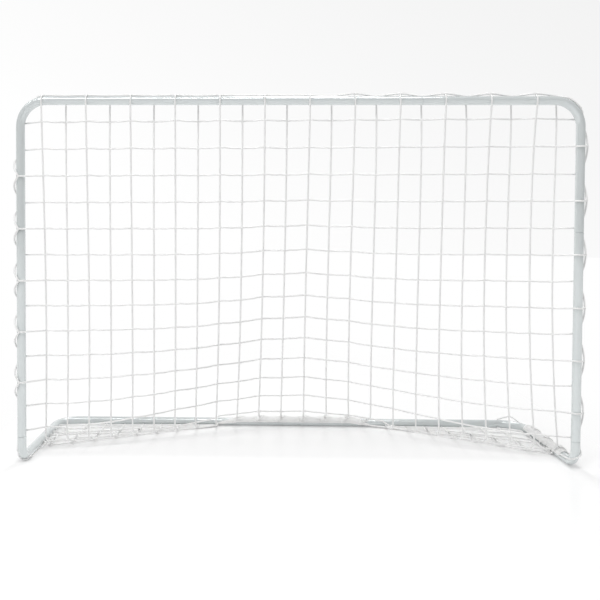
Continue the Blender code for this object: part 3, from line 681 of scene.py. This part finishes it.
def row_end(side, k):
    """A row's end, from the border cord round the frame to the net."""
    if k < POST_ROWS:
        angle, radius = border_at_post(side, k)
        stop = 140 if in_front(side, k) else -140
        turns = [angle + (stop - angle) * step / 7 for step in range(8)]
        z = row_height(side, k)
        first = post_point(side, z, radius, turns[0])
        return [first] + [post_point(side, z, CORD_ON_TUBE, turn) for turn in turns[1:]]
    if k == POST_ROWS:
        bends = (48, 55, 60, 64, 70) if side < 0 else (8, 14, 20, 28, 40)
        crossing = [foot_point(side, bend, CORD_ON_TUBE, angle)
                    for bend, angle in zip(bends, (-10, 30, 75, 120, 165))]
        if side < 0:
            crossing += [Vector((side * (POST_X - TUBE_RADIUS * 0.8), FRONT_Y + back, CORD_LIE_Z))
                         for back in (0.065, 0.090, 0.120, 0.150)]
        return crossing
    y = arm_row_place(side, k)
    if side > 0 and k % 2 == 0:
        bundle = []
        for turn, strand in enumerate(WOUND_STRANDS):
            outer = turn in OUTER_TURNS
            stop = 166 if turn < OUTER_TURNS[0] else 201
            turns = range(-25, 96, 30) if outer else range(-25, stop, 27)
            proud = OUTER_TURN_RISE if outer else 0
            for angle in (turns[::-1] if turn % 2 else turns):
                bundle.append(arm_point(side, y + WOUND_PITCH * strand, CORD_ON_TUBE + proud, angle))
        return bundle
    if side < 0:
        return [arm_point(side, y, CORD_ON_TUBE, angle) for angle in (222, 205, 188, 174)]
    return [Vector((side * (POST_X - TUBE_RADIUS * 0.82), y, CORD_LIE_Z)),
            Vector((side * (POST_X - TUBE_RADIUS - 0.012), y, CORD_LIE_Z + 0.002))]


def row_line(k, slices):
    """One row of the net, from the border cord on the left to the border cord on the right."""
    middle = [at_length(line, lengths, marks[k]) for line, lengths, marks in slices]
    left, right = row_end(-1, k), row_end(1, k)[::-1]
    reach = flow([left[-2], left[-1], middle[0], middle[1]], 8)[8:16]
    back = flow([middle[-2], middle[-1], right[0], right[1]], 8)[8:16]
    return left[:-1] + reach + middle + back[1:] + right


def border_line():
    """The net's edge cord, once round the frame on its outer side."""
    halves = []
    for side in (-1, 1):
        top = [border_at_top(i) for i in (range(13, COLUMNS) if side > 0 else range(12, 0, -1))]
        centre = Vector((side * (POST_X - CORNER_RADIUS), FRONT_Y, BAR_Z - CORNER_RADIUS))
        for angle, lie in ((68, -35), (52, -60), (36, -80)):
            turn = math.radians(angle)
            behind = math.radians(lie if side < 0 else 22)
            wide = CORNER_RADIUS + CORD_ON_TUBE * math.cos(behind)
            ahead = -CORD_ON_TUBE * math.sin(behind)
            top.append(centre + Vector((side * math.cos(turn) * wide, ahead, math.sin(turn) * wide)))
        line = flow(top, 6)
        knots = [(row_height(side, k),) + border_at_post(side, k) for k in range(POST_ROWS)]
        knots.insert(0, (row_height(side, 0) + 0.030, -90 if side < 0 else 10, CORD_ON_TUBE + 0.001))
        for (z1, a1, r1), (z2, a2, r2) in zip(knots[:-1], knots[1:]):
            for step in range(10):
                t = step / 10
                slack = 0.0025 * math.sin(math.pi * t)
                line.append(post_point(side, z1 + (z2 - z1) * t, r1 + (r2 - r1) * t + slack,
                                       a1 + (a2 - a1) * t))
        z, angle, radius = knots[-1]
        line.append(post_point(side, z, radius, angle))
        ends = [foot_point(side, bend, CORD_ON_TUBE, turn)
                for bend, turn in ((0, angle * 0.4), (30, -8), (55, -14), (80, -18))]
        line += flow([line[-1]] + ends, 5)[1:]
        outer = []
        for k in range(POST_ROWS + 1, ALL_ROWS):
            y = arm_row_place(side, k)
            outer.append(Vector((side * (POST_X + TUBE_RADIUS + 0.0015), y, BORDER_Z)))
            outer.append(Vector((side * (POST_X + TUBE_RADIUS + 0.0050), y + 0.025, BORDER_Z)))
        rear = Vector((side * (POST_X - CORNER_RADIUS), REAR_Y - CORNER_RADIUS, BORDER_Z))
        for angle, rise in ((10, 0), (30, 0.010), (46, 0.023), (60, 0.036), (74, 0.030), (88, 0.022)):
            turn = math.radians(angle)
            outer.append(rear + Vector((side * math.cos(turn), math.sin(turn), 0))
                         * (CORNER_RADIUS + TUBE_RADIUS + 0.0025) + Z * (rise if side > 0 else 0))
        line += flow(outer, 4)
        halves.append(line)
    behind = []
    for j in range(COLUMNS * 10 + 1):
        i = j / 10
        x = sideways(-POST_X + COLUMN_PITCH * i, BASE_DROP)
        if abs(x) > POST_X - CORNER_RADIUS - 0.01:
            continue
        axis = Vector((x, REAR_Y, BASE_Z))
        slack = 0.002 * math.sin(math.pi * i) ** 2
        angle = CORNER_CORD_ANGLE + (REAR_CORD_ANGLE - CORNER_CORD_ANGLE) * past_buttons(x)
        behind.append(round_bar(axis, CORD_ON_TUBE + slack, angle))
    return halves[0][::-1] + halves[1] + behind[::-1]


def tail_stubs():
    """Where the cords come out behind the tubes that they pass under."""
    stubs = []
    for i in range(1, COLUMNS):
        x = -POST_X + COLUMN_PITCH * i
        if not on_rear_bar(x):
            end = sideways(x, BASE_DROP)
            y = REAR_Y - tube_drop(end)
            top = BORDER_Z + BORDER_RISE * past_buttons(end)
            stubs.append([Vector((end, y + TUBE_RADIUS * 0.75, CORD_LIE_Z)),
                          Vector((end, y + TUBE_RADIUS, CORD_LIE_Z + 0.001)),
                          Vector((end, y + TUBE_RADIUS + 0.0025, top))])
    for side in (-1, 1):
        for k in range(POST_ROWS + 1, ALL_ROWS):
            if side < 0 or k % 2:
                y = arm_row_place(side, k)
                stubs.append([Vector((side * (POST_X + TUBE_RADIUS * 0.75), y, CORD_LIE_Z)),
                              Vector((side * (POST_X + TUBE_RADIUS), y, CORD_LIE_Z + 0.001)),
                              Vector((side * (POST_X + TUBE_RADIUS + 0.002), y, BORDER_Z))])
    return stubs


def sweep(shape, layer, line, radii):
    """A round cord along a line, with its length in metres and its turn as the UV map."""
    lengths = lengths_of(line)
    rings = []
    side = None
    for j, point in enumerate(line):
        run = (line[min(j + 1, len(line) - 1)] - line[max(j - 1, 0)]).normalized()
        if side is None:
            side = run.orthogonal().normalized()
        side = (side - run * side.dot(run)).normalized()
        across = run.cross(side)
        rings.append([shape.verts.new(point + (side * math.cos(a) + across * math.sin(a)) * radii[j])
                      for a in (2 * math.pi * n / CORD_SIDES for n in range(CORD_SIDES))])
    for j in range(len(line) - 1):
        for n in range(CORD_SIDES):
            m = (n + 1) % CORD_SIDES
            face = shape.faces.new((rings[j][n], rings[j][m], rings[j + 1][m], rings[j + 1][n]))
            face.smooth = True
            corners = ((lengths[j], n), (lengths[j], n + 1), (lengths[j + 1], n + 1), (lengths[j + 1], n))
            for loop, (u, v) in zip(face.loops, corners):
                loop[layer].uv = (u, v / CORD_SIDES)
    shape.faces.new(rings[0][::-1])
    shape.faces.new(rings[-1])


def cord_object(name, lines, finish, nodes):
    """One piece of the net, made of many cords."""
    shape = bmesh.new()
    layer = shape.loops.layers.uv.new("cord")
    for line, radii in lines:
        sweep(shape, layer, line, radii)
    mesh = bpy.data.meshes.new(name)
    shape.to_mesh(mesh)
    shape.free()
    mesh.materials.append(finish)
    made = bpy.data.objects.new(name, mesh)
    bpy.context.collection.objects.link(made)
    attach(made, "goal")
    if nodes:
        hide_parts(*nodes)


def thin_out(line, radii):
    """Leaves out points where a cord runs straight and even."""
    kept = [0]
    for j in range(1, len(line) - 1):
        before = line[j] - line[kept[-1]]
        after = line[j + 1] - line[j]
        if before.length < 0.0012 or after.length < 1e-6:
            continue
        if before.angle(after) > math.radians(2.5) or before.length > 0.03 or radii[j] != radii[kept[-1]]:
            kept.append(j)
    kept.append(len(line) - 1)
    return [line[j] for j in kept], [radii[j] for j in kept]


def column_cord(i):
    """A column with the small swellings where the rows pass through it."""
    line, joined = column_line(i)
    lengths = lengths_of(line)
    knots = row_marks(line, lengths, joined)
    points, radii = [], []
    spots = {knot + KNOT_REACH * share for knot in knots for share in (-1, -0.5, 0, 0.5, 1)}
    for stop in sorted(set(lengths) | spots):
        if 0 <= stop <= lengths[-1]:
            near = min(abs(stop - knot) for knot in knots)
            points.append(at_length(line, lengths, stop))
            radii.append(CORD_RADIUS * (1 + KNOT_SWELL * max(0.0, 1 - near / KNOT_REACH)))
    return thin_out(points, radii)


def make_net(finish):
    """The net's columns, rows and border cord, in place of the solids' panels."""
    nodes = {}
    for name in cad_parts:
        if name.startswith("net_"):
            nodes.setdefault(name.split("_")[1], []).append(name)
    slices = []
    for j in range(ROW_STEPS, (COLUMNS - 1) * ROW_STEPS + 1):
        line, joined = column_line(j / ROW_STEPS if j % ROW_STEPS else j // ROW_STEPS)
        lengths = lengths_of(line)
        slices.append((line, lengths, row_marks(line, lengths, joined)))
    columns = [column_cord(i) for i in range(1, COLUMNS)]
    cord_object("net_columns", columns, finish, nodes["top"] + nodes["upper"])
    rows = [row_line(k, slices) for k in range(ALL_ROWS)]
    rows = [thin_out(line, [CORD_RADIUS] * len(line)) for line in rows]
    cord_object("net_rows", rows, finish, nodes["lower"] + nodes["floor"])
    border = border_line()
    border = thin_out(border + [border[0]], [CORD_RADIUS * BORDER_SCALE] * (len(border) + 1))
    stubs = [(line, [CORD_RADIUS] * len(line)) for line in tail_stubs()]
    cord_object("net_border_cord", [border] + stubs, finish, [])


# The studio: each lamp's name, place, two sides, turn, power in watts and what it is aimed at

WORLD_LIGHT = 0.465
FLOOR_RADIUS = 19
LAMPS = (("front_softbox", (-0.95, -2.68, 5.50), 5.7, 0.6, 30, 184.0, None),
         ("left_softbox", (-3.40, -1.50, 4.90), 2.9, 0.4, 48, 40.0, (-0.85, -0.24, 1.16)),
         ("rear_softbox", (0.30, 2.20, 4.60), 1.2, 2.0, 0, 68.0, (0, 0, 0.2)))


def floor_material():
    """White coated studio paper: it takes the goal's shadow, carries a painted shadow under the net that
    only the camera sees, mirrors the net a little at a low angle, and runs out to plain white for the
    camera and for what the tubes mirror.
    """
    made = bpy.data.materials.new("studio_paper")
    made.use_nodes = True
    tree = made.node_tree
    tree.nodes.clear()
    path = add_node(tree, "ShaderNodeLightPath")
    place = add_node(tree, "ShaderNodeTexCoord")
    spot = add_node(tree, "ShaderNodeSeparateXYZ", {}, {"Vector": place.outputs["Object"]})
    width = add_node(tree, "ShaderNodeMath", {}, {0: spot.outputs["X"]}, operation="ABSOLUTE")
    reach = add_node(tree, "ShaderNodeVectorMath", {}, {0: place.outputs["Object"]}, operation="LENGTH")
    # Each ramp goes from its first value to its last one between two places, in metres
    ramps = {}
    for name, value, low, high, first, last in (
            ("front", spot.outputs["Y"], -0.20, -0.12, 0.0, 1.0),
            ("back", spot.outputs["Y"], -0.02, 0.20, 1.0, 0.0),
            ("sides", width.outputs["Value"], 0.86, 0.98, 1.0, 0.0),
            ("far", reach.outputs["Value"], 1.0, 2.2, 0.30, 1.0),
            ("beside", width.outputs["Value"], 0.93, 1.12, 0.30, 1.0),
            ("near", reach.outputs["Value"], 0.9, 1.7, 1.0, 0.0)):
        ends = {"From Min": low, "From Max": high, "To Min": first, "To Max": last}
        ramp = add_node(tree, "ShaderNodeMapRange", ends, {"Value": value}, interpolation_type="SMOOTHSTEP")
        ramps[name] = ramp.outputs["Result"]
    # Painted shadow: the front, back and sides ramps mark out the floor under the net, which the camera
    # sees greyer
    between = add_node(tree, "ShaderNodeMath", {}, {0: ramps["front"], 1: ramps["back"]},
                       operation="MULTIPLY")
    under = add_node(tree, "ShaderNodeMath", {}, {0: between.outputs["Value"], 1: ramps["sides"]},
                     operation="MULTIPLY")
    painted_shadow_mask = add_node(tree, "ShaderNodeMath", {}, {0: under.outputs["Value"],
                                                   1: path.outputs["Is Camera Ray"]}, operation="MULTIPLY")
    # Painted shadow: under the net the camera sees the paper as EBEBEB instead of FAFAFA
    shade = add_node(tree, "ShaderNodeMix", {"A": linear("FAFAFA"), "B": linear("EBEBEB")},
                     {"Factor": painted_shadow_mask.outputs["Value"]}, data_type="RGBA")
    lit = add_node(tree, "ShaderNodeBsdfDiffuse", {}, {"Color": shade.outputs["Result"]})
    glow = add_node(tree, "ShaderNodeEmission", {"Color": linear("FFFFFF"), "Strength": 1.0})
    fade = add_node(tree, "ShaderNodeMath", {}, {0: ramps["far"], 1: ramps["beside"]}, operation="MAXIMUM")
    either = add_node(tree, "ShaderNodeMath", {}, {0: path.outputs["Is Camera Ray"],
                                                   1: path.outputs["Is Glossy Ray"]}, operation="MAXIMUM")
    share = add_node(tree, "ShaderNodeMath", {}, {0: either.outputs["Value"], 1: fade.outputs["Value"]},
                     operation="MULTIPLY")
    paper = add_node(tree, "ShaderNodeMixShader", {}, {0: share.outputs["Value"], 1: lit.outputs["BSDF"],
                                                       2: glow.outputs["Emission"]})
    sheen = add_node(tree, "ShaderNodeBsdfGlossy", {"Color": linear("FFFFFF"), "Roughness": 0.18})
    slant = add_node(tree, "ShaderNodeFresnel", {"IOR": 1.25})
    seen = add_node(tree, "ShaderNodeMath", {}, {0: path.outputs["Is Camera Ray"], 1: ramps["near"]},
                    operation="MULTIPLY")
    coat = add_node(tree, "ShaderNodeMath", {}, {0: seen.outputs["Value"], 1: slant.outputs["Fac"]},
                    operation="MULTIPLY")
    mix = add_node(tree, "ShaderNodeMixShader", {}, {0: coat.outputs["Value"], 1: paper.outputs["Shader"],
                                                     2: sheen.outputs["BSDF"]})
    out = add_node(tree, "ShaderNodeOutputMaterial")
    tree.links.new(mix.outputs["Shader"], out.inputs["Surface"])
    return made


def studio_world():
    """Even soft light; a pale backdrop for the camera, which the tubes mirror too, and for them a
    darker room above and behind the camera.
    """
    world = bpy.data.worlds.new("studio")
    world.use_nodes = True
    tree = world.node_tree
    tree.nodes.clear()
    soft = add_node(tree, "ShaderNodeBackground", {"Color": linear("FFFFFF"), "Strength": WORLD_LIGHT})
    way = add_node(tree, "ShaderNodeTexCoord")
    slant = add_node(tree, "ShaderNodeVectorMath", {1: (-0.110, 0.0, -0.190)},
                     {0: way.outputs["Generated"]}, operation="DOT_PRODUCT")
    level = add_node(tree, "ShaderNodeMapRange",
                     {"From Min": -0.2, "From Max": 0.005, "To Min": 0.795, "To Max": 1.0},
                     {"Value": slant.outputs["Value"]})
    ahead = add_node(tree, "ShaderNodeVectorMath", {1: (0.0, 0.75, -0.66)},
                     {0: way.outputs["Generated"]}, operation="DOT_PRODUCT")
    room = add_node(tree, "ShaderNodeMapRange",
                    {"From Min": -0.3, "From Max": 0.5, "To Min": 0.7, "To Max": 0.0},
                    {"Value": ahead.outputs["Value"]}, interpolation_type="SMOOTHSTEP")
    path = add_node(tree, "ShaderNodeLightPath")
    darker = add_node(tree, "ShaderNodeMath", {}, {0: room.outputs["Result"],
                                                   1: path.outputs["Is Glossy Ray"]}, operation="MULTIPLY")
    kept = add_node(tree, "ShaderNodeMath", {0: 1.0}, {1: darker.outputs["Value"]}, operation="SUBTRACT")
    strength = add_node(tree, "ShaderNodeMath", {}, {0: level.outputs["Result"], 1: kept.outputs["Value"]},
                        operation="MULTIPLY")
    seen = add_node(tree, "ShaderNodeBackground", {"Color": linear("FFFFFF")},
                    {"Strength": strength.outputs["Value"]})
    either = add_node(tree, "ShaderNodeMath", {}, {0: path.outputs["Is Camera Ray"],
                                                   1: path.outputs["Is Glossy Ray"]}, operation="MAXIMUM")
    mix = add_node(tree, "ShaderNodeMixShader", {}, {0: either.outputs["Value"],
                                                     1: soft.outputs["Background"],
                                                     2: seen.outputs["Background"]})
    out = add_node(tree, "ShaderNodeOutputWorld")
    tree.links.new(mix.outputs["Shader"], out.inputs["Surface"])
    return world


def make_studio():
    """White paper floor, a pale backdrop, two long softboxes high in front and one behind."""
    bpy.ops.object.select_all(action="DESELECT")
    bpy.ops.mesh.primitive_circle_add(vertices=96, radius=FLOOR_RADIUS, fill_type="NGON",
                                      location=(0, 0, FLOOR_Z))
    bpy.ops.object.transform_apply(location=True, rotation=True, scale=True)
    floor = bpy.context.object
    floor.name = "studio_floor"
    floor.data.materials.append(floor_material())
    bpy.context.scene.world = studio_world()
    for name, place, wide, deep, turn, power, aim in LAMPS:
        light = bpy.data.lights.new(name, "AREA")
        light.shape = "RECTANGLE"
        light.size = wide
        light.size_y = deep
        light.energy = power
        lamp = bpy.data.objects.new(name, light)
        bpy.context.collection.objects.link(lamp)
        lamp.visible_camera = False
        lamp.location = place
        lamp.rotation_euler = (0, 0, math.radians(turn))
        if aim:
            towards = (Vector(place) - Vector(aim)).to_track_quat("Z", "Y")
            lamp.rotation_euler = (towards @ Quaternion(Z, math.radians(turn))).to_euler()


def make_camera():
    """A normal lens a little left of the middle and above half the goal's height, tilted down
    slightly. Its length, place and turn are found from the photograph's frame.
    """
    camera = bpy.data.cameras.new("camera")
    camera.sensor_width = 36
    camera.lens = 43.26
    camera.shift_x = 0.1083
    camera.shift_y = -0.0883
    yaw, pitch, roll = -0.02081, 0.02699, 0.00358
    ahead = Vector((math.sin(yaw) * math.cos(pitch), math.cos(yaw) * math.cos(pitch), -math.sin(pitch)))
    level = Vector((math.cos(yaw), -math.sin(yaw), 0))
    up = level.cross(ahead)
    right = level * math.cos(roll) + up * math.sin(roll)
    up = up * math.cos(roll) - level * math.sin(roll)
    placed = bpy.data.objects.new("camera", camera)
    bpy.context.collection.objects.link(placed)
    turned = Matrix((right, up, -ahead)).transposed().to_4x4()
    placed.matrix_world = Matrix.Translation((-0.15169, FRONT_Y - 2.29728, 0.76390)) @ turned
    bpy.context.scene.camera = placed


make_camera()
steel = powder_coated_steel()
zinc = zinc_plated_steel()
spots = joint_places()
make_tubes(steel, spots)
make_buttons(zinc, spots)
for node_name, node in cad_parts.items():
    if node_name.startswith("clip_"):
        node.material_slots[0].material = zinc
make_net(braided_polyethylene())
make_studio()
bpy.context.scene.view_settings.view_transform = "Standard"
